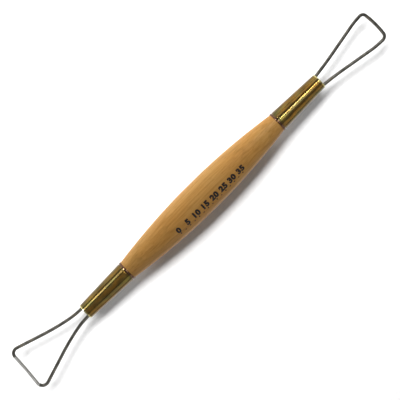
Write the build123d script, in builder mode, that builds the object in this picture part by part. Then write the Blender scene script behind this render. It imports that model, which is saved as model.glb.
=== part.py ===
from build123d import *
import os
from math import copysign, cos, radians, sin, tan

# Double-ended wire loop tool for trimming and hollowing clay. A turned wooden handle carries a
# tapered brass ferrule on each end, and each ferrule holds the two legs of a bent steel wire
# loop: a wide, flared one on -X and a narrow one on +X.
#
# Frame, in millimetres: +X runs along the handle towards the narrow loop, and +Z points up out
# of the handle's printed side. Both loops lie flat at the height of the handle's axis. The
# origin is the middle of the handle's belly, where the tool rests.

# Handle
exposed_length = 85.6  # bare wood between the two ferrules
belly_radius = 7.3  # at the middle, where the handle is thickest
belly_length = 12.0  # straight stretch in the middle, which the tool rests on
barrel_curve = 300.0  # lengthwise radius of the wood from the belly to a ferrule
neck_radius = 4.25  # where the wood meets a ferrule

# Ferrules, both alike: thin tapered tubes with a beaded rim at the wide edge
ferrule_length = 24.5
ferrule_root_radius = 4.38  # outside, at the wide end of the taper
ferrule_mouth_radius = 3.46  # outside, at the mouth
ferrule_wall = 0.25
bead_width = 0.9
bead_height = 0.17
groove_width = 0.7  # swaged ring next to the bead, which grips the wood
groove_depth = 0.1
lip_radius = 0.22  # rounding of the mouth's outer edge

# How the loops are held inside the ferrules
tenon_setback = 4.0  # from the mouth back to the end of the wood
fill_setback = 0.7  # from the mouth back to the face of the adhesive
leg_hole_depth = 11.0  # how far each leg runs on into the wood

# Wire of both loops
wire_radius = 0.7

# Worked-out places
axis_height = belly_radius
ferrule_start = exposed_length / 2
mouth_distance = ferrule_start + ferrule_length
tenon_end = mouth_distance - tenon_setback
fill_end = mouth_distance - fill_setback
bead_end = ferrule_start + bead_width
taper_start = bead_end + groove_width
taper_slope = (ferrule_root_radius - ferrule_mouth_radius) / (mouth_distance - taper_start)
handle_axis = Axis((0, 0, axis_height), (1, 0, 0))


def bore_radius(distance):
    """Inside radius of a ferrule at a distance from the middle of the handle."""
    return ferrule_mouth_radius - ferrule_wall + taper_slope * (mouth_distance - distance)


def profile_plane(end):
    """Upright plane through the axis for the -X or +X end (-1 or +1). Its x is the distance
    from the middle of the handle, and its y is the radius."""
    return Plane(origin=(0, 0, axis_height), x_dir=(end, 0, 0), z_dir=(0, -end, 0))


def leg_corners(leg_offset, turns, bar_crown, bar_slope):
    """Corners of a leg's centre line as (distance out from the mouth, offset from the axis),
    from its end in the wood to where it meets the end bar."""
    distance = -tenon_setback - leg_hole_depth
    offset = leg_offset
    slope = 0.0
    corners = [(distance, offset)]
    for turn_distance, direction, _ in turns:
        offset += slope * (turn_distance - distance)
        distance = turn_distance
        slope = tan(radians(direction))
        corners.append((distance, offset))
    # The bar runs further out by bar_slope for each millimetre away from the axis
    reach = (bar_crown - distance + bar_slope * offset) / (1 - bar_slope * slope)
    corners.append((distance + reach, offset + slope * reach))
    return corners


def make_loop(
    end, leg_offset, turns, corner_radius, bar_distance, bar_lean, bar_bow, bow_radius, skew
):
    """A wire loop bent from one length: two legs, two tight corners and an end bar.

    The legs leave the wood leg_offset from the axis. Each of their turns is (distance out from
    the mouth, new direction in degrees away from the axis, bend radius). The end bar crosses
    the axis bar_distance from the mouth. It leans bar_lean degrees out of square, and each half
    of it bows outwards by bar_bow degrees. The loop is skewed in its own plane by skew degrees.
    """
    rounding = bow_radius * (1 / cos(radians(bar_bow)) - 1)
    bar_crown = bar_distance + copysign(rounding, bar_bow)
    left_slope = tan(radians(bar_lean - bar_bow))
    right_slope = tan(radians(-bar_lean - bar_bow))
    left_leg = leg_corners(leg_offset, turns, bar_crown, left_slope)
    right_leg = leg_corners(leg_offset, turns, bar_crown, right_slope)
    right_leg = [(distance, -offset) for distance, offset in right_leg]
    route = left_leg + [(bar_crown, 0)] + right_leg[::-1]
    leg_radii = [radius for _, _, radius in turns] + [corner_radius]
    route_radii = leg_radii + [bow_radius] + leg_radii[::-1]
    loop_plane = Plane(
        origin=(end * mouth_distance, 0, axis_height),
        x_dir=(end * cos(radians(skew)), end * sin(radians(skew)), 0),
        z_dir=(0, 0, 1),
    )
    with BuildPart() as loop:
        with BuildLine(loop_plane) as centre_line:
            FilletPolyline(*route, radius=route_radii)
        wire_start = centre_line.wire()
        with BuildSketch(Plane(origin=wire_start @ 0, z_dir=wire_start % 0)):
            Circle(wire_radius)
        sweep()
    return loop.part


def make_ferrule(end):
    """A ferrule: beaded rim and swaged ring at the wide edge, then the taper to its mouth."""
    with BuildPart() as ferrule:
        with BuildSketch(profile_plane(end)) as profile:
            with BuildLine():
                ThreePointArc(
                    (ferrule_start, ferrule_root_radius),
                    (ferrule_start + bead_width / 2, ferrule_root_radius + bead_height),
                    (bead_end, ferrule_root_radius),
                )
                ThreePointArc(
                    (bead_end, ferrule_root_radius),
                    (bead_end + groove_width / 2, ferrule_root_radius - groove_depth),
                    (taper_start, ferrule_root_radius),
                )
                Polyline(
                    (taper_start, ferrule_root_radius),
                    (mouth_distance, ferrule_mouth_radius),
                    (mouth_distance, bore_radius(mouth_distance)),
                    (ferrule_start, bore_radius(ferrule_start)),
                    (ferrule_start, ferrule_root_radius),
                )
            make_face()
            mouth_edge = profile.vertices().group_by(Axis.X)[-1].sort_by(Axis.Y)[-1]
            fillet(mouth_edge, radius=lip_radius)
        revolve(axis=handle_axis)
    return ferrule.part


def make_adhesive(end, loop):
    """Hardened adhesive that fills the ferrule beyond the wood, around the loop's two legs."""
    with BuildPart() as adhesive:
        with BuildSketch(profile_plane(end)):
            with BuildLine():
                Polyline(
                    (tenon_end, 0),
                    (tenon_end, bore_radius(tenon_end)),
                    (fill_end, bore_radius(fill_end)),
                    (fill_end, 0),
                    close=True,
                )
            make_face()
        revolve(axis=handle_axis)
        add(loop, mode=Mode.SUBTRACT)
    return adhesive.part


# The wide loop: its legs curve outwards to a straight flare
wide_loop = make_loop(
    end=-1,
    leg_offset=2.15,
    turns=[(3.7, 11.5, 34.0), (13.0, 18.7, 96.0)],
    corner_radius=2.5,
    bar_distance=33.9,
    bar_lean=8.0,
    bar_bow=-1.5,
    bow_radius=140.0,
    skew=0.0,
)

# The narrow loop: nearly straight legs that curl back towards the corners
narrow_loop = make_loop(
    end=1,
    leg_offset=2.3,
    turns=[(-1.5, 7.5, 30.0), (7.0, 10.7, 150.0), (26.5, 2.5, 30.0)],
    corner_radius=2.0,
    bar_distance=32.7,
    bar_lean=-4.0,
    bar_bow=6.0,
    bow_radius=42.0,
    skew=0.8,
)

# The handle: one turned piece, a long barrel with a tapered tenon at each end. Two holes in
# each tenon take the legs of that end's loop.
with BuildPart() as handle:
    with BuildSketch(profile_plane(1)):
        with BuildLine():
            belly_left = (-belly_length / 2, belly_radius)
            belly_right = (belly_length / 2, belly_radius)
            RadiusArc((-ferrule_start, neck_radius), belly_left, barrel_curve)
            Line(belly_left, belly_right)
            RadiusArc(belly_right, (ferrule_start, neck_radius), barrel_curve)
            Polyline(
                (ferrule_start, neck_radius),
                (ferrule_start, bore_radius(ferrule_start)),
                (tenon_end, bore_radius(tenon_end)),
                (tenon_end, 0),
                (-tenon_end, 0),
                (-tenon_end, bore_radius(tenon_end)),
                (-ferrule_start, bore_radius(ferrule_start)),
                (-ferrule_start, neck_radius),
            )
        make_face()
    revolve(axis=handle_axis)
    add(wide_loop, mode=Mode.SUBTRACT)
    add(narrow_loop, mode=Mode.SUBTRACT)

pieces = {
    "handle": handle.part,
    "wide_ferrule": make_ferrule(-1),
    "narrow_ferrule": make_ferrule(1),
    "wide_loop": wide_loop,
    "narrow_loop": narrow_loop,
    "wide_adhesive": make_adhesive(-1, wide_loop),
    "narrow_adhesive": make_adhesive(1, narrow_loop),
}

os.makedirs("parts", exist_ok=True)
for name, part in pieces.items():
    part.label = name
    export_step(part, f"parts/{name}.step")
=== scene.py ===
from math import copysign, cos, exp, hypot, pi, radians, sin, sqrt, tan

import bmesh
import bpy
from mathutils import Matrix, Vector


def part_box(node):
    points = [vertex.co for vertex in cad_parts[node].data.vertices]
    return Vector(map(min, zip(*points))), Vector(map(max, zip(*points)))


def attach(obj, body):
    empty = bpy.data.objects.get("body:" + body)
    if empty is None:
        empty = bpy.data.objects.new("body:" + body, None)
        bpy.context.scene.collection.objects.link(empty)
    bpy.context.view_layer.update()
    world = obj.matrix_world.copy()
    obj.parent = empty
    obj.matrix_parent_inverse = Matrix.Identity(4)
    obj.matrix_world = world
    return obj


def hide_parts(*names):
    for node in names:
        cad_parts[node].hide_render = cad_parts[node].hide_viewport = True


# Looks of the double-ended loop tool: a turned wooden handle with a printed millimetre scale,
# two brass ferrules, two bent steel wires and the adhesive that holds them. The frame is the
# CAD's: +X along the handle towards the narrow loop, +Z out of the printed side, and the tool
# lying on z = 0 on its belly. Sizes are in metres, but for the bends of the wire loops and the
# patterns of the materials, which are in millimetres where they say so.

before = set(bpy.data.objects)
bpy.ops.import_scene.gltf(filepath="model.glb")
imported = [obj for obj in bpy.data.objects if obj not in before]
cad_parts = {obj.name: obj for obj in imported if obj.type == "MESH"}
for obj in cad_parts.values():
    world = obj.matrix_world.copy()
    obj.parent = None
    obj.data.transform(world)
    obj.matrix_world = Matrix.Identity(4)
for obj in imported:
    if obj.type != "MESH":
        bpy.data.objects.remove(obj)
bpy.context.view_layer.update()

MM = 0.001

# Places and sizes read from the frame
handle_low, handle_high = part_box("handle")
ferrule_low, ferrule_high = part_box("narrow_ferrule")
_, adhesive_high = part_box("narrow_adhesive")
axis_height = (handle_low.z + handle_high.z) / 2
belly_radius = (handle_high.z - handle_low.z) / 2
tenon_end = handle_high.x
ferrule_start = ferrule_low.x
mouth_distance = ferrule_high.x
ferrule_length = mouth_distance - ferrule_start
fill_end = adhesive_high.x

# Sizes the boxes don't show, as in the CAD
neck_radius = 4.25 * MM
belly_length = 12.0 * MM
barrel_curve = 300.0 * MM
ferrule_root_radius = 4.38 * MM
ferrule_mouth_radius = 3.46 * MM
ferrule_wall = 0.25 * MM
bead_width = 0.9 * MM
bead_height = 0.17 * MM
groove_width = 0.7 * MM
groove_depth = 0.1 * MM
lip_radius = 0.22 * MM
wire_radius = 0.7 * MM
leg_inside = 15.0  # how far each wire leg runs back from the mouth, in millimetres

taper_start = bead_width + groove_width  # from the wide edge of the ferrule
taper_slope = (ferrule_root_radius - ferrule_mouth_radius) / (ferrule_length - taper_start)


# ---------------------------------------------------------------- mesh helpers


def finish_piece(name, mesh, end, body="root"):
    """An object on the tool's axis. end is 0 at the middle, or -1 or +1 at a ferrule's mouth,
    where the local +x points out of the mouth."""
    piece = bpy.data.objects.new(name, mesh)
    bpy.context.scene.collection.objects.link(piece)
    turn = pi if end < 0 else 0.0
    piece.matrix_world = Matrix.Translation((end * mouth_distance, 0, axis_height))
    piece.matrix_world = piece.matrix_world @ Matrix.Rotation(turn, 4, "Z")
    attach(piece, body)
    return piece


def smooth_mesh(bm, name, sharp_angle=35.0):
    """Writes a bmesh to a mesh, shaded smooth except at edges sharper than sharp_angle."""
    bmesh.ops.recalc_face_normals(bm, faces=bm.faces)
    for face in bm.faces:
        face.smooth = True
    for edge in bm.edges:
        if edge.is_manifold and edge.calc_face_angle(0) > radians(sharp_angle):
            edge.smooth = False
    mesh = bpy.data.meshes.new(name)
    bm.to_mesh(mesh)
    bm.free()
    return mesh


def join_rings(bm, ring, following):
    """Faces between two rings of as many corners each. A ring may be one point, repeated."""
    for step in range(len(ring)):
        after = (step + 1) % len(ring)
        corners = [ring[step], ring[after], following[after], following[step]]
        distinct = list(dict.fromkeys(corners))
        if len(distinct) > 2:
            bm.faces.new(distinct)


def lathe(name, profile, segments, closed):
    """Turns a profile of (x, radius) points about the local x axis. A closed profile joins its
    last point to its first, and an open one must start and end on the axis."""
    bm = bmesh.new()
    rings = []
    for x, radius in profile:
        if radius == 0:
            rings.append([bm.verts.new((x, 0, 0))] * segments)
            continue
        ring = []
        for step in range(segments):
            angle = 2 * pi * step / segments
            ring.append(bm.verts.new((x, radius * sin(angle), radius * cos(angle))))
        rings.append(ring)
    for ring, following in zip(rings, rings[1:]):
        join_rings(bm, ring, following)
    if closed:
        join_rings(bm, rings[-1], rings[0])
    return smooth_mesh(bm, name)


def arc(centre, radius, start, stop, steps):
    """Points of an arc in a profile, from the angle start to stop in degrees."""
    points = []
    for step in range(steps + 1):
        angle = radians(start + (stop - start) * step / steps)
        points.append((centre[0] + radius * cos(angle), centre[1] + radius * sin(angle)))
    return points


def spread(first, last, steps):
    """Evenly spaced points after first, up to and including last."""
    return [
        tuple(a + (b - a) * step / steps for a, b in zip(first, last))
        for step in range(1, steps + 1)
    ]


# ---------------------------------------------------------------- handle

handle_segments = 256
barrel_steps = 220
tenon_steps = 30


def barrel_radius(x):
    """Outside radius of the bare wood at a distance from the middle: straight over the belly,
    then one long arc down to each ferrule."""
    belly_end = belly_length / 2
    run = ferrule_start - belly_end
    drop = belly_radius - neck_radius
    chord = hypot(run, drop)
    height = sqrt(barrel_curve**2 - (chord / 2) ** 2)
    centre_x = belly_end + run / 2 - height * drop / chord
    centre_radius = belly_radius - drop / 2 - height * run / chord
    along = max(abs(x), belly_end) - centre_x
    return centre_radius + sqrt(barrel_curve**2 - along**2)


def bore_radius(outwards):
    """Inside radius of a ferrule at a local x, which is 0 at the mouth."""
    return ferrule_mouth_radius - ferrule_wall - taper_slope * outwards


def make_handle():
    """The bare barrel with a tapered tenon at each end, as one turned piece."""
    bare = []
    for step in range(barrel_steps + 1):
        x = -ferrule_start + 2 * ferrule_start * step / barrel_steps
        bare.append((x, barrel_radius(x)))
    shoulder = (ferrule_start, bore_radius(ferrule_start - mouth_distance))
    tip = (tenon_end, bore_radius(tenon_end - mouth_distance))
    right = [shoulder] + spread(shoulder, tip, tenon_steps) + [(tenon_end, 0)]
    left = [(-x, radius) for x, radius in reversed(right)]
    mesh = lathe("turned_handle", left + bare + right, handle_segments, closed=False)
    handle = finish_piece("turned_handle", mesh, end=0)
    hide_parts("handle")
    return handle


# ---------------------------------------------------------------- ferrules

ferrule_segments = 192
bead_steps = 12
groove_steps = 10
taper_steps = 60
lip_steps = 8
bore_steps = 40
lip_first_angle = 85  # degrees from the way out of the mouth, where the rounded lip begins


def ripple(start, width, height, steps):
    """Points between the two ends of a rounded bead that starts at the local x start. A groove
    is a bead of negative height."""
    points = []
    for step in range(1, steps):
        angle = pi * step / steps
        x = start + width / 2 * (1 - cos(angle))
        points.append((x, ferrule_root_radius + height * sin(angle)))
    return points


def make_ferrule(end, name, node):
    """Local x runs from -ferrule_length at the wide edge to 0 at the mouth."""
    edge = -ferrule_length
    bead_end = edge + bead_width
    taper = edge + taper_start
    profile = [(edge, ferrule_root_radius)]
    profile += ripple(edge, bead_width, bead_height, bead_steps)
    profile += [(bead_end, ferrule_root_radius)]
    profile += ripple(bead_end, groove_width, -groove_depth, groove_steps)
    profile += [(taper, ferrule_root_radius)]
    lip_start = (-lip_radius, ferrule_mouth_radius + taper_slope * lip_radius)
    profile += spread(profile[-1], lip_start, taper_steps)
    lip_centre = (-lip_radius, ferrule_mouth_radius - lip_radius)
    profile += arc(lip_centre, lip_radius, lip_first_angle, 0, lip_steps)
    inner_mouth = (0, bore_radius(0))
    inner_edge = (edge, bore_radius(edge))
    profile += [inner_mouth]
    profile += spread(inner_mouth, inner_edge, bore_steps)
    mesh = lathe(name, profile, ferrule_segments, closed=True)
    ferrule = finish_piece(name, mesh, end)
    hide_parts(node)
    return ferrule


# ---------------------------------------------------------------- wire loops

wire_sides = 20
wire_step = 0.2  # millimetres between the rings of a wire's mesh, or a little more


def leg_corners(leg_offset, turns, bar_crown, bar_slope):
    """Corners of a leg's centre line as (distance out from the mouth, offset from the axis),
    from its end in the wood to where it meets the end bar."""
    distance = -leg_inside
    offset = leg_offset
    slope = 0.0
    corners = [(distance, offset)]
    for turn_distance, direction, _ in turns:
        offset += slope * (turn_distance - distance)
        distance = turn_distance
        slope = tan(radians(direction))
        corners.append((distance, offset))
    reach = (bar_crown - distance + bar_slope * offset) / (1 - bar_slope * slope)
    corners.append((distance + reach, offset + slope * reach))
    return corners


def round_corners(route, radii, step_length):
    """Centre line of a bent wire: straight runs joined by tangent arcs at the inner corners."""
    points = [Vector(route[0])]
    for before, corner, after, radius in zip(route, route[1:], route[2:], radii):
        before, corner, after = Vector(before), Vector(corner), Vector(after)
        arriving = (corner - before).normalized()
        leaving = (after - corner).normalized()
        turn = arriving.angle_signed(leaving)
        setback = radius * tan(abs(turn) / 2)
        start = corner - arriving * setback
        side = -1 if turn > 0 else 1
        centre = start + side * radius * Vector((-arriving.y, arriving.x))
        spoke = start - centre
        steps = max(2, int(radius * abs(turn) / step_length))
        add_run(points, start, step_length)
        for step in range(1, steps + 1):
            points.append(centre + Matrix.Rotation(-turn * step / steps, 2) @ spoke)
    add_run(points, Vector(route[-1]), step_length)
    return points


def add_run(points, stop, step_length):
    """Adds evenly spaced points along a straight run from the last point to stop."""
    start = points[-1]
    steps = max(1, int((stop - start).length / step_length))
    points.extend(start.lerp(stop, step / steps) for step in range(1, steps + 1))


def sweep_wire(name, points):
    """Round wire along a flat centre line. Its UV map runs round the wire and along it, in
    millimetres along."""
    bm = bmesh.new()
    uv_layer = bm.loops.layers.uv.new("along_wire")
    rings = []
    lengths = [0.0]
    for before, after in zip(points, points[1:]):
        lengths.append(lengths[-1] + (after - before).length)
    for index, point in enumerate(points):
        ahead = points[min(index + 1, len(points) - 1)]
        behind = points[max(index - 1, 0)]
        direction = (ahead - behind).normalized()
        across = Vector((-direction.y, direction.x))
        ring = []
        for side in range(wire_sides):
            angle = 2 * pi * side / wire_sides
            flat = point + across * (wire_radius * cos(angle))
            ring.append(bm.verts.new((flat.x, flat.y, wire_radius * sin(angle))))
        rings.append(ring)
    for index in range(len(rings) - 1):
        ring = rings[index]
        following = rings[index + 1]
        for side in range(wire_sides):
            after = (side + 1) % wire_sides
            face = bm.faces.new((ring[side], ring[after], following[after], following[side]))
            near_side = side / wire_sides
            far_side = (side + 1) / wire_sides
            around = (near_side, far_side, far_side, near_side)
            along = (lengths[index],) * 2 + (lengths[index + 1],) * 2
            for corner, u, v in zip(face.loops, around, along):
                corner[uv_layer].uv = (u, v / MM)
    bm.faces.new(list(reversed(rings[0])))
    bm.faces.new(rings[-1])
    return smooth_mesh(bm, name)


def make_loop(
    name, node, end, leg_offset, turns, corner_radius, bar_distance, bar_lean, bar_bow, bow_radius, skew
):
    """A wire loop bent from one length: two legs, two tight corners and an end bar. Lengths are
    in millimetres.

    The legs leave the wood leg_offset from the axis. Each of their turns is (distance out from
    the mouth, new direction in degrees away from the axis, bend radius). The end bar crosses
    the axis bar_distance from the mouth. It leans bar_lean degrees out of square, and each half
    of it bows outwards by bar_bow degrees. The loop is skewed in its own plane by skew degrees.
    """
    rounding = bow_radius * (1 / cos(radians(bar_bow)) - 1)
    bar_crown = bar_distance + copysign(rounding, bar_bow)
    left_slope = tan(radians(bar_lean - bar_bow))
    right_slope = tan(radians(-bar_lean - bar_bow))
    left_leg = leg_corners(leg_offset, turns, bar_crown, left_slope)
    right_leg = leg_corners(leg_offset, turns, bar_crown, right_slope)
    right_leg = [(distance, -offset) for distance, offset in right_leg]
    route = left_leg + [(bar_crown, 0)] + right_leg[::-1]
    leg_radii = [radius for _, _, radius in turns] + [corner_radius]
    radii = leg_radii + [bow_radius] + leg_radii[::-1]
    points = round_corners(route, radii, wire_step)
    lean = Matrix.Rotation(radians(skew), 2)
    points = [lean @ point * MM for point in points]
    loop = finish_piece(name, sweep_wire(name, points), end)
    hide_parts(node)
    return loop


# ---------------------------------------------------------------- adhesive

adhesive_rings = 26
adhesive_segments = 96
adhesive_climb = 0.35 * MM  # how far it was drawn up the brass and the legs
highest_climb = 1.1 * adhesive_climb  # where a leg is near the brass
wall_reach = 0.35 * MM  # how soon the climb dies away from the brass
leg_reach = 0.3 * MM  # and from a leg
face_sink = 0.1 * MM  # how far the face lies inside the CAD's, away from both


def meniscus_height(y, z, rim, leg_offset):
    """How far the adhesive stands out at a point of its face, from the CAD's flat face."""
    wall_gap = rim - hypot(y, z)
    leg_gap = min(hypot(y - leg_offset, z), hypot(y + leg_offset, z)) - wire_radius
    climb = adhesive_climb * (exp(-wall_gap / wall_reach) + exp(-max(leg_gap, 0) / leg_reach))
    return min(climb, highest_climb) - face_sink


def make_adhesive(end, name, node, leg_offset):
    """Set adhesive in a ferrule's mouth, drawn up a little against the brass and both legs."""
    rim = bore_radius(fill_end - mouth_distance)
    back = tenon_end - mouth_distance
    face = fill_end - mouth_distance
    bm = bmesh.new()
    middle = bm.verts.new((face + meniscus_height(0, 0, rim, leg_offset), 0, 0))
    rings = [[middle] * adhesive_segments]
    for ring_number in range(1, adhesive_rings + 1):
        radius = rim * ring_number / adhesive_rings
        ring = []
        for step in range(adhesive_segments):
            angle = 2 * pi * step / adhesive_segments
            y = radius * cos(angle)
            z = radius * sin(angle)
            height = meniscus_height(y, z, rim, leg_offset)
            ring.append(bm.verts.new((face + height, y, z)))
        rings.append(ring)
    foot = []
    foot_radius = bore_radius(back)
    for step in range(adhesive_segments):
        angle = 2 * pi * step / adhesive_segments
        foot.append(bm.verts.new((back, foot_radius * cos(angle), foot_radius * sin(angle))))
    rings.append(foot)
    for ring, following in zip(rings, rings[1:]):
        join_rings(bm, ring, following)
    bm.faces.new(foot)
    adhesive = finish_piece(name, smooth_mesh(bm, name, sharp_angle=60), end)
    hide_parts(node)
    return adhesive


# ---------------------------------------------------------------- materials

white = (1, 1, 1)

# Places of the colour sockets of a mix node, whose names its other sockets share
mix_first_colour = 6
mix_second_colour = 7
mix_result_colour = 2


class Nodes:
    """Short ways to add and join shader nodes of one material."""

    def __init__(self, name):
        self.material = bpy.data.materials.new(name)
        self.material.use_nodes = True
        self.tree = self.material.node_tree
        self.shader = self.tree.nodes["Principled BSDF"]

    def add(self, kind, settings=None, **inputs):
        node = self.tree.nodes.new(kind)
        for key, value in (settings or {}).items():
            setattr(node, key, value)
        for key, value in inputs.items():
            self.feed(node.inputs[key.replace("_", " ")], value)
        return node

    def feed(self, socket, value):
        if isinstance(value, bpy.types.NodeSocket):
            self.tree.links.new(value, socket)
        else:
            socket.default_value = value

    def math(self, operation, first, second=0.0):
        node = self.tree.nodes.new("ShaderNodeMath")
        node.operation = operation
        self.feed(node.inputs[0], first)
        self.feed(node.inputs[1], second)
        return node.outputs[0]

    def millimetres(self, stretch=(1, 1, 1), turn=(0, 0, 0), shift=(0, 0, 0)):
        """Object coordinates in millimetres, each divided by its stretch."""
        place = self.add("ShaderNodeTexCoord").outputs["Object"]
        mapping = self.add("ShaderNodeMapping", Vector=place)
        mapping.inputs["Scale"].default_value = [1 / (MM * s) for s in stretch]
        mapping.inputs["Rotation"].default_value = turn
        mapping.inputs["Location"].default_value = shift
        return mapping.outputs["Vector"]

    def noise(self, vector, scale, detail, roughness=0.5):
        node = self.add("ShaderNodeTexNoise", Vector=vector)
        node.inputs["Scale"].default_value = scale
        node.inputs["Detail"].default_value = detail
        node.inputs["Roughness"].default_value = roughness
        return node.outputs["Fac"]

    def ramp(self, value, *stops):
        """Colour ramp of (place, colour) stops. A colour may be one grey value."""
        node = self.add("ShaderNodeValToRGB", Fac=value)
        points = node.color_ramp.elements
        while len(points) < len(stops):
            points.new(0.5)
        for point, (place, colour) in zip(points, stops):
            point.position = place
            if isinstance(colour, (int, float)):
                colour = (colour, colour, colour)
            point.color = (*colour, 1)
        return node.outputs["Color"]

    def mix(self, factor, first, second, blend="MIX"):
        node = self.add("ShaderNodeMix", {"data_type": "RGBA", "blend_type": blend})
        self.feed(node.inputs["Factor"], factor)
        self.feed(node.inputs[mix_first_colour], self.colour(first))
        self.feed(node.inputs[mix_second_colour], self.colour(second))
        return node.outputs[mix_result_colour]

    def colour(self, value):
        if isinstance(value, bpy.types.NodeSocket):
            return value
        return (*value, 1)

    def bump(self, height, strength, distance):
        node = self.add("ShaderNodeBump", Height=height)
        node.inputs["Strength"].default_value = strength
        node.inputs["Distance"].default_value = distance
        self.feed(self.shader.inputs["Normal"], node.outputs["Normal"])

    def set(self, **inputs):
        for key, value in inputs.items():
            self.feed(self.shader.inputs[key.replace("_", " ")], value)


def wood_material():
    """Pale hardwood under satin varnish: annual rings of the turned blank, seen as long
    streaks, with short darker flecks and fine pores along the grain."""
    dark_wood = (0.50, 0.245, 0.062)
    middle_wood = (0.62, 0.325, 0.088)
    pale_wood = (0.69, 0.385, 0.114)
    fleck_tint = (0.84, 0.76, 0.66)
    warm_tint = (1.0, 0.88, 0.72)
    ring_tilt = (0.5, 0.0, 0.02)  # radians that the blank's rings are turned from the handle
    rings_per_millimetre = 0.55
    ring_sway = 3.0  # rings by which they wander along the grain

    nodes = Nodes("varnished_hardwood")
    sway = nodes.noise(nodes.millimetres(stretch=(40, 6, 6)), scale=1.0, detail=2.0)
    tilted = nodes.add("ShaderNodeSeparateXYZ", Vector=nodes.millimetres(turn=ring_tilt)).outputs
    even_rings = nodes.math("MULTIPLY", tilted["Z"], rings_per_millimetre)
    ring_phase = nodes.math("ADD", even_rings, nodes.math("MULTIPLY", sway, ring_sway))
    rings = nodes.math("FRACT", ring_phase)
    grain = nodes.millimetres(stretch=(26, 1, 1))
    streaks = nodes.noise(grain, scale=1.6, detail=5.0, roughness=0.6)
    pores = nodes.millimetres(stretch=(14, 0.7, 0.7))
    fine = nodes.noise(pores, scale=3.0, detail=4.0, roughness=0.65)
    flecks = nodes.noise(nodes.millimetres(stretch=(5, 1, 1), shift=(7, 3, 1)), scale=2.4, detail=2.0)
    patches = nodes.noise(nodes.millimetres(stretch=(20, 8, 8)), scale=1.0, detail=2.0)

    colour = nodes.ramp(streaks, (0.25, dark_wood), (0.5, middle_wood), (0.75, pale_wood))
    ring_shade = nodes.ramp(rings, (0.0, 1.0), (0.7, 0.98), (0.93, 0.90), (1.0, 1.0))
    colour = nodes.mix(0.9, colour, ring_shade, "MULTIPLY")
    fleck_shade = nodes.ramp(flecks, (0.30, fleck_tint), (0.42, white))
    colour = nodes.mix(0.5, colour, fleck_shade, "MULTIPLY")
    fine_shade = nodes.ramp(fine, (0.3, 0.90), (0.6, 1.0))
    colour = nodes.mix(0.8, colour, fine_shade, "MULTIPLY")
    warm_shade = nodes.ramp(patches, (0.35, warm_tint), (0.65, white))
    colour = nodes.mix(0.6, colour, warm_shade, "MULTIPLY")
    roughness = nodes.ramp(fine, (0.2, 0.52), (0.8, 0.40))
    nodes.set(Base_Color=colour, Roughness=roughness)
    nodes.set(Specular_IOR_Level=0.12, Coat_Weight=0.04, Coat_Roughness=0.3)
    relief = nodes.math("ADD", fine, nodes.math("MULTIPLY", streaks, 0.5))
    nodes.bump(relief, strength=0.25, distance=0.04 * MM)
    return nodes.material


def brass_material():
    """Old lacquered brass tube, drawn and turned: dark olive gold with fine rings around it,
    green and copper patches, a painted dark shade on the beaded rim and a painted highlight on the lip."""
    dark_brass = (0.10, 0.078, 0.033)
    olive_brass = (0.155, 0.108, 0.034)
    golden_brass = (0.23, 0.140, 0.032)
    green_tarnish = (0.62, 0.86, 0.80)
    copper_tarnish = (1.0, 0.70, 0.36)
    # painted highlight of the rounded lip at the mouth, standing in for a lamp's reflection
    lip_highlight_colour = (0.60, 0.54, 0.24)
    # painted shade of the beaded rim, where its rolled edge turns down towards the wood
    rim_shade_colour = (0.12, 0.060, 0.040)
    lip_highlight_span = 1.0  # millimetres from the mouth, over which the lip's painted highlight ramps in
    rim_shade_span = 2.5  # and from the wide edge, for the ramp of the rim's painted shade

    nodes = Nodes("tarnished_brass")
    place = nodes.add("ShaderNodeSeparateXYZ", Vector=nodes.millimetres()).outputs
    turned = nodes.millimetres(stretch=(0.28, 40, 40))
    rings = nodes.noise(turned, scale=1.0, detail=4.0, roughness=0.7)
    patches = nodes.noise(nodes.millimetres(stretch=(4, 2, 2)), scale=1.0, detail=4.0)
    stained = nodes.millimetres(stretch=(9, 1.8, 1.8), shift=(3, 9, 5))
    stains = nodes.noise(stained, scale=1.0, detail=3.0)

    colour = nodes.ramp(patches, (0.30, dark_brass), (0.50, olive_brass), (0.70, golden_brass))
    tarnish = nodes.ramp(stains, (0.34, green_tarnish), (0.46, white), (0.60, copper_tarnish))
    colour = nodes.mix(0.65, colour, tarnish, "MULTIPLY")
    ring_shade = nodes.ramp(rings, (0.3, 0.62), (0.6, 1.0))
    colour = nodes.mix(0.7, colour, ring_shade, "MULTIPLY")
    # Painted highlight: the last part of the ferrule before the mouth is lightened, where the rounded lip
    # would catch the light
    along_lip = nodes.math("ADD", place["X"], lip_highlight_span)
    lip = nodes.ramp(along_lip, (0.35, 0.0), (0.75, 1.0))
    colour = nodes.mix(lip, colour, lip_highlight_colour)
    # Painted shade: the beaded rim at the wide edge is darkened where its rolled surface turns away from
    # the light
    rim_distance = nodes.math("ADD", place["X"], ferrule_length / MM)
    rim = nodes.ramp(nodes.math("MULTIPLY", rim_distance, 1 / rim_shade_span), (0.32, 1.0), (0.46, 0.0))
    colour = nodes.mix(nodes.math("MULTIPLY", rim, 0.85), colour, rim_shade_colour)
    roughness = nodes.ramp(rings, (0.25, 0.30), (0.75, 0.18))
    nodes.set(Base_Color=colour, Metallic=1.0, Roughness=roughness)
    nodes.set(Anisotropic=0.7, Anisotropic_Rotation=0.25)
    tangent = nodes.add("ShaderNodeTangent", {"direction_type": "RADIAL", "axis": "X"})
    nodes.set(Tangent=tangent.outputs["Tangent"])
    nodes.bump(rings, strength=0.2, distance=0.02 * MM)
    return nodes.material


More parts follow.
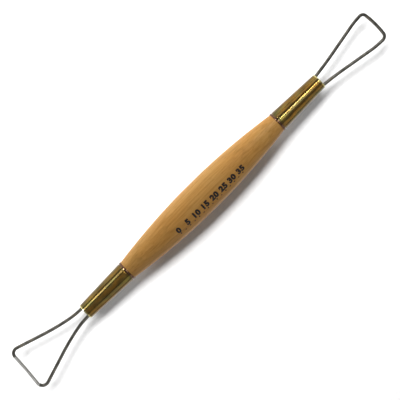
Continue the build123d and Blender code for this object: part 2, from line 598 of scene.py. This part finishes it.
def wire_material(name, wear_and_highlight_from=None):
    """Drawn spring steel with a dark oxide skin, rubbed lighter in streaks along the wire.
    Beyond the given distance from the ferrule's mouth, in millimetres, the bar is painted light: partly
    bare steel worn by use, partly a painted highlight."""
    oxide_dark = (0.075, 0.071, 0.061)
    oxide_light = (0.24, 0.23, 0.20)
    rust_tint = (1.0, 0.86, 0.68)
    # colours of the bar's light end: partly bare worn steel, partly a painted highlight
    bare_and_highlight_dark = (0.45, 0.44, 0.42)
    bare_and_highlight_light = (0.72, 0.71, 0.68)
    streak_stretch = (9, 0.35, 1)  # round the wire and along it
    wear_and_highlight_half_width = 7.5  # millimetres of bar painted light, worn bare and highlit, on each side of the axis, clear of its corners
    corner_fade = 3.0  # how much sooner the painted wear and highlight end for each millimetre nearer a corner
    ragged_depth = 1.2  # millimetres by which the edge of the painted wear and highlight wanders

    nodes = Nodes(name)
    along = nodes.add("ShaderNodeUVMap", {"uv_map": "along_wire"}).outputs["UV"]
    stretched = nodes.add("ShaderNodeMapping", Vector=along)
    stretched.inputs["Scale"].default_value = streak_stretch
    streaks = nodes.noise(stretched.outputs["Vector"], scale=1.0, detail=4.0, roughness=0.6)
    patches = nodes.noise(nodes.millimetres(stretch=(3, 3, 3)), scale=1.0, detail=3.0)
    half_streaks = nodes.math("MULTIPLY", streaks, 0.5)
    mixed = nodes.math("ADD", half_streaks, nodes.math("MULTIPLY", patches, 0.5))

    colour = nodes.ramp(mixed, (0.36, oxide_dark), (0.62, oxide_light))
    rust = nodes.ramp(patches, (0.55, white), (0.72, rust_tint))
    colour = nodes.mix(0.7, colour, rust, "MULTIPLY")
    # Painted wear and highlight: beyond this distance the end bar is lightened towards bare steel, partly
    # real wear from use, partly a painted highlight
    if wear_and_highlight_from:
        place = nodes.add("ShaderNodeSeparateXYZ", Vector=nodes.millimetres()).outputs
        beyond = nodes.math("SUBTRACT", place["X"], wear_and_highlight_from)
        sideways = nodes.math("SUBTRACT", nodes.math("ABSOLUTE", place["Y"]), wear_and_highlight_half_width)
        near_corner = nodes.math("MULTIPLY", nodes.math("MAXIMUM", sideways, 0.0), corner_fade)
        beyond = nodes.math("SUBTRACT", beyond, near_corner)
        ragged = nodes.math("ADD", beyond, nodes.math("MULTIPLY", streaks, ragged_depth))
        worn = nodes.ramp(ragged, (0.3, 0.0), (0.9, 1.0))
        bare = nodes.ramp(streaks, (0.3, bare_and_highlight_dark), (0.7, bare_and_highlight_light))
        colour = nodes.mix(worn, colour, bare)
    roughness = nodes.ramp(streaks, (0.3, 0.52), (0.7, 0.34))
    nodes.set(Base_Color=colour, Metallic=0.9, Roughness=roughness)
    nodes.bump(mixed, strength=0.3, distance=0.03 * MM)
    return nodes.material


def adhesive_material():
    """Dull amber resin, slightly cloudy and dusty."""
    dark_amber = (0.10, 0.06, 0.025)
    pale_amber = (0.26, 0.17, 0.07)

    nodes = Nodes("amber_resin")
    clouds = nodes.noise(nodes.millimetres(), scale=1.4, detail=4.0)
    colour = nodes.ramp(clouds, (0.3, dark_amber), (0.7, pale_amber))
    roughness = nodes.ramp(clouds, (0.3, 0.35), (0.7, 0.6))
    nodes.set(Base_Color=colour, Roughness=roughness, Subsurface_Weight=0.1)
    nodes.bump(clouds, strength=0.4, distance=0.05 * MM)
    return nodes.material


def ink_material():
    """Black stamping ink, thin and worn away in places to the wood."""
    worn_ink = (0.20, 0.11, 0.05)
    full_ink = (0.012, 0.010, 0.010)

    nodes = Nodes("worn_black_ink")
    stamped = nodes.millimetres(stretch=(2, 1, 1))
    wear = nodes.noise(stamped, scale=3.0, detail=4.0, roughness=0.7)
    colour = nodes.ramp(wear, (0.33, worn_ink), (0.42, full_ink))
    nodes.set(Base_Color=colour, Roughness=0.5)
    nodes.bump(wear, strength=0.2, distance=0.01 * MM)
    return nodes.material


# ---------------------------------------------------------------- printed scale

print_turn = radians(10.5)  # round the handle from its top towards -Y
print_start = -16.5 * MM  # place of the 0 along the handle
print_step = 5 * MM  # from one numeral to the next
print_count = 8  # numerals
numeral_height = 2.9 * MM
numeral_boldness = 0.07  # added to each side of a stroke, as a share of the type size
numeral_spacing = 1.12  # against the typeface's own
numeral_resolution = 6
mark_height = 0.6 * MM
mark_width = 0.6 * MM
middle_mark_height = 0.7 * mark_height  # of the marks halfway between two numerals
numeral_gap = 0.3 * MM  # between a mark and its numeral
ink_lift = 0.012 * MM  # off the wood, so that the print isn't buried in it
ink_grid = 0.2 * MM  # the print is cut this finely, so that it can follow the wood


def numeral_mesh(text, middle, foot):
    """A flat numeral of the built-in typeface, centred on x = middle and standing on y = foot."""
    curve = bpy.data.curves.new("numeral", "FONT")
    curve.body = text
    curve.offset = numeral_boldness
    curve.space_character = numeral_spacing
    curve.resolution_u = numeral_resolution
    numeral = bpy.data.objects.new("numeral", curve)
    bpy.context.scene.collection.objects.link(numeral)
    bpy.context.view_layer.update()
    mesh = bpy.data.meshes.new_from_object(numeral)
    bpy.data.objects.remove(numeral)
    across = [vertex.co.x for vertex in mesh.vertices]
    upright = [vertex.co.y for vertex in mesh.vertices]
    scale = numeral_height / (max(upright) - min(upright))
    centre = (max(across) + min(across)) / 2
    for vertex in mesh.vertices:
        x = middle + (vertex.co.x - centre) * scale
        y = foot + (vertex.co.y - min(upright)) * scale
        vertex.co = (x, y, 0)
    return mesh


def add_bar(bm, middle, width, low, high):
    """A flat upright bar."""
    left, right = middle - width / 2, middle + width / 2
    corners = ((left, low), (right, low), (right, high), (left, high))
    bm.faces.new([bm.verts.new((x, y, 0)) for x, y in corners])


def cut_through(bm, place, direction):
    """Cuts every face along the plane through place, square to direction, and keeps both sides."""
    geometry = bm.verts[:] + bm.edges[:] + bm.faces[:]
    bmesh.ops.bisect_plane(bm, geom=geometry, plane_co=place, plane_no=direction)


def make_print():
    """A plain millimetre scale, 0 to 35, printed along the handle and read from -Y."""
    bm = bmesh.new()
    foot = mark_height + numeral_gap
    height = foot + numeral_height
    for number in range(print_count):
        middle = print_start + number * print_step
        millimetres = round(number * print_step / MM)
        bm.from_mesh(numeral_mesh(str(millimetres), middle, foot))
        add_bar(bm, middle, mark_width, 0, mark_height)
        if number < print_count - 1:
            add_bar(bm, middle + print_step / 2, mark_width, 0, middle_mark_height)
    for row in range(int(height / ink_grid) + 1):
        cut_through(bm, (0, row * ink_grid, 0), (0, 1, 0))
    first_column = print_start - print_step / 2
    for column in range(int(print_count * print_step / ink_grid)):
        cut_through(bm, (first_column + column * ink_grid, 0, 0), (1, 0, 0))
    for vertex in bm.verts:
        radius = barrel_radius(vertex.co.x) + ink_lift
        angle = (vertex.co.y - height / 2) / belly_radius - print_turn
        vertex.co = (vertex.co.x, radius * sin(angle), radius * cos(angle))
    printed = finish_piece("printed_scale", smooth_mesh(bm, "printed_scale"), end=0)
    return printed


# ---------------------------------------------------------------- the pieces

# Millimetres from the axis to a leg, where it leaves the wood. The narrow loop's legs have
# spread a little by the face of the adhesive, and the wide loop's haven't.
wide_leg_offset = 2.15
narrow_leg_offset = 2.3
narrow_leg_at_face = 2.36
wear_and_highlight_start = 32.2  # millimetres from the mouth, beyond which the wide loop's bar is painted light: worn bare and a painted highlight

handle = make_handle()
wide_ferrule = make_ferrule(-1, "wide_brass_ferrule", "wide_ferrule")
narrow_ferrule = make_ferrule(1, "narrow_brass_ferrule", "narrow_ferrule")
wide_loop = make_loop(
    "wide_wire_loop",
    "wide_loop",
    end=-1,
    leg_offset=wide_leg_offset,
    turns=[(3.7, 11.5, 34.0), (13.0, 18.7, 96.0)],
    corner_radius=2.5,
    bar_distance=33.9,
    bar_lean=8.0,
    bar_bow=-1.5,
    bow_radius=140.0,
    skew=0.0,
)
narrow_loop = make_loop(
    "narrow_wire_loop",
    "narrow_loop",
    end=1,
    leg_offset=narrow_leg_offset,
    turns=[(-1.5, 7.5, 30.0), (7.0, 10.7, 150.0), (26.5, 2.5, 30.0)],
    corner_radius=2.0,
    bar_distance=32.7,
    bar_lean=-4.0,
    bar_bow=6.0,
    bow_radius=42.0,
    skew=0.8,
)
wide_adhesive = make_adhesive(-1, "wide_end_adhesive", "wide_adhesive", wide_leg_offset * MM)
narrow_adhesive = make_adhesive(1, "narrow_end_adhesive", "narrow_adhesive", narrow_leg_at_face * MM)
ink = make_print()

handle.data.materials.append(wood_material())
brass = brass_material()
wide_ferrule.data.materials.append(brass)
narrow_ferrule.data.materials.append(brass)
narrow_loop.data.materials.append(wire_material("dark_spring_steel"))
wide_loop.data.materials.append(wire_material("worn_and_highlit_spring_steel", wear_and_highlight_from=wear_and_highlight_start))
resin = adhesive_material()
wide_adhesive.data.materials.append(resin)
narrow_adhesive.data.materials.append(resin)
ink.data.materials.append(ink_material())

# ---------------------------------------------------------------- stage, light and camera

picture_middle_x = -1.76 * MM  # place along the handle in the middle of the picture
tool_middle = Vector((picture_middle_x, 0, axis_height))

floor_reach = 3.0  # from the middle of the floor to each side, in metres
lamp_distance = 0.9  # from the tool to most lamps, in metres
near_lamp_distance = 0.5
strip_distance = 0.55

camera_tilt = 20.0  # degrees from the vertical, towards +Y
camera_slant = 44.635  # degrees between the tool and the picture's horizontal
camera_distance = 0.4553  # metres
camera_lens = 100  # of a sensor of camera_sensor, both in millimetres
camera_sensor = 36
camera_drop = 0.41 * MM  # how far down the picture the camera aims from the tool's axis
nearest_seen = 0.01  # metres


def make_floor():
    """A plain sheet of white card at z = 0."""
    bm = bmesh.new()
    bmesh.ops.create_grid(bm, x_segments=1, y_segments=1, size=floor_reach)
    mesh = bpy.data.meshes.new("floor")
    bm.to_mesh(mesh)
    bm.free()
    floor = bpy.data.objects.new("floor", mesh)
    bpy.context.scene.collection.objects.link(floor)
    nodes = Nodes("white_card")
    fibres = nodes.noise(nodes.millimetres(), scale=0.6, detail=3.0)
    nodes.set(Base_Color=nodes.ramp(fibres, (0.3, 0.86), (0.7, 0.90)), Roughness=0.9)
    floor.data.materials.append(nodes.material)
    return floor


def collection_of(name, *members):
    """The pieces that one group of lamps reaches."""
    group = bpy.data.collections.new(name)
    for member in members:
        group.objects.link(member)
    return group


def softbox(name, direction, width, height, power, reaches, distance=lamp_distance):
    """A rectangular area light that faces the tool and lights one collection alone."""
    light = bpy.data.lights.new(name, "AREA")
    light.shape = "RECTANGLE"
    light.size = width
    light.size_y = height
    light.energy = power
    lamp = bpy.data.objects.new(name, light)
    bpy.context.scene.collection.objects.link(lamp)
    outwards = Vector(direction).normalized()
    lamp.location = tool_middle + outwards * distance
    lamp.rotation_euler = outwards.to_track_quat("Z", "Y").to_euler()
    lamp.light_linking.receiver_collection = reaches


def lamp_direction(along, across):
    """Direction up to a lamp that stands along degrees towards +X and leans across degrees
    from the vertical towards +Y."""
    level = cos(radians(along))
    return (
        sin(radians(along)),
        level * sin(radians(across)),
        level * cos(radians(across)),
    )


def make_world(brightness):
    """Even white light from all round, on everything."""
    world = bpy.data.worlds.new("studio")
    bpy.context.scene.world = world
    world.use_nodes = True
    background = world.node_tree.nodes["Background"]
    background.inputs["Color"].default_value = (1, 1, 1, 1)
    background.inputs["Strength"].default_value = brightness


def make_camera():
    """Looks down on the tool, tilted towards its +Y side, with the tool running up to the right
    across the picture."""
    tilt = radians(camera_tilt)
    slant = radians(camera_slant)
    back = Vector((0, sin(tilt), cos(tilt)))
    down_page = Vector((0, -cos(tilt), sin(tilt)))
    along = Vector((1, 0, 0))
    right = cos(slant) * along + sin(slant) * down_page
    up = sin(slant) * along - cos(slant) * down_page
    camera = bpy.data.cameras.new("camera")
    camera.lens = camera_lens
    camera.sensor_width = camera_sensor
    camera.clip_start = nearest_seen
    eye = bpy.data.objects.new("camera", camera)
    bpy.context.scene.collection.objects.link(eye)
    target = tool_middle + down_page * camera_drop
    eye.matrix_world = Matrix.Translation(target + back * camera_distance) @ Matrix(
        (
            (right.x, up.x, back.x, 0),
            (right.y, up.y, back.y, 0),
            (right.z, up.z, back.z, 0),
            (0, 0, 0, 1),
        )
    )
    bpy.context.scene.camera = eye


floor = make_floor()
wooden = collection_of("wood_lights_reach", handle, ink)
brass_lit = collection_of("brass_lights_reach", wide_ferrule, narrow_ferrule)
wire_lit = collection_of("wire_lights_reach", wide_loop, narrow_loop, wide_adhesive, narrow_adhesive)
table = collection_of("table_lights_reach", floor)
make_world(brightness=0.16)
softbox(
    "wood_key", lamp_direction(35, 49), 0.14, 0.14, power=1.25, reaches=wooden, distance=near_lamp_distance
)
softbox("wood_fill", lamp_direction(-15, -60), 0.40, 0.40, power=0.8, reaches=wooden)
softbox("brass_left", lamp_direction(-30, 61), 0.09, 0.15, power=8.2, reaches=brass_lit)
softbox("brass_right", lamp_direction(18, 27), 0.09, 0.09, power=2.7, reaches=brass_lit)
softbox("brass_side", lamp_direction(16, 72), 0.50, 0.40, power=1.2, reaches=brass_lit)
softbox("brass_glow", lamp_direction(18, 8), 0.20, 0.22, power=0.8, reaches=brass_lit)
softbox("brass_card", lamp_direction(0, 5), 1.2, 1.0, power=1.4, reaches=brass_lit)
softbox("brass_fill", lamp_direction(0, -58), 1.2, 0.7, power=2.6, reaches=brass_lit)
softbox("wire_key", lamp_direction(19, 40), 0.28, 0.28, power=2.2, reaches=wire_lit)
softbox("wire_bar", lamp_direction(-20, -20), 0.60, 0.40, power=1.4, reaches=wire_lit)
softbox("table_strip", lamp_direction(0, 42), 0.6, 0.15, power=6.8, reaches=table, distance=strip_distance)
softbox("table_low", lamp_direction(0, 78), 1.2, 0.10, power=7.0, reaches=table)
make_camera()
bpy.context.scene.view_settings.view_transform = "Standard"
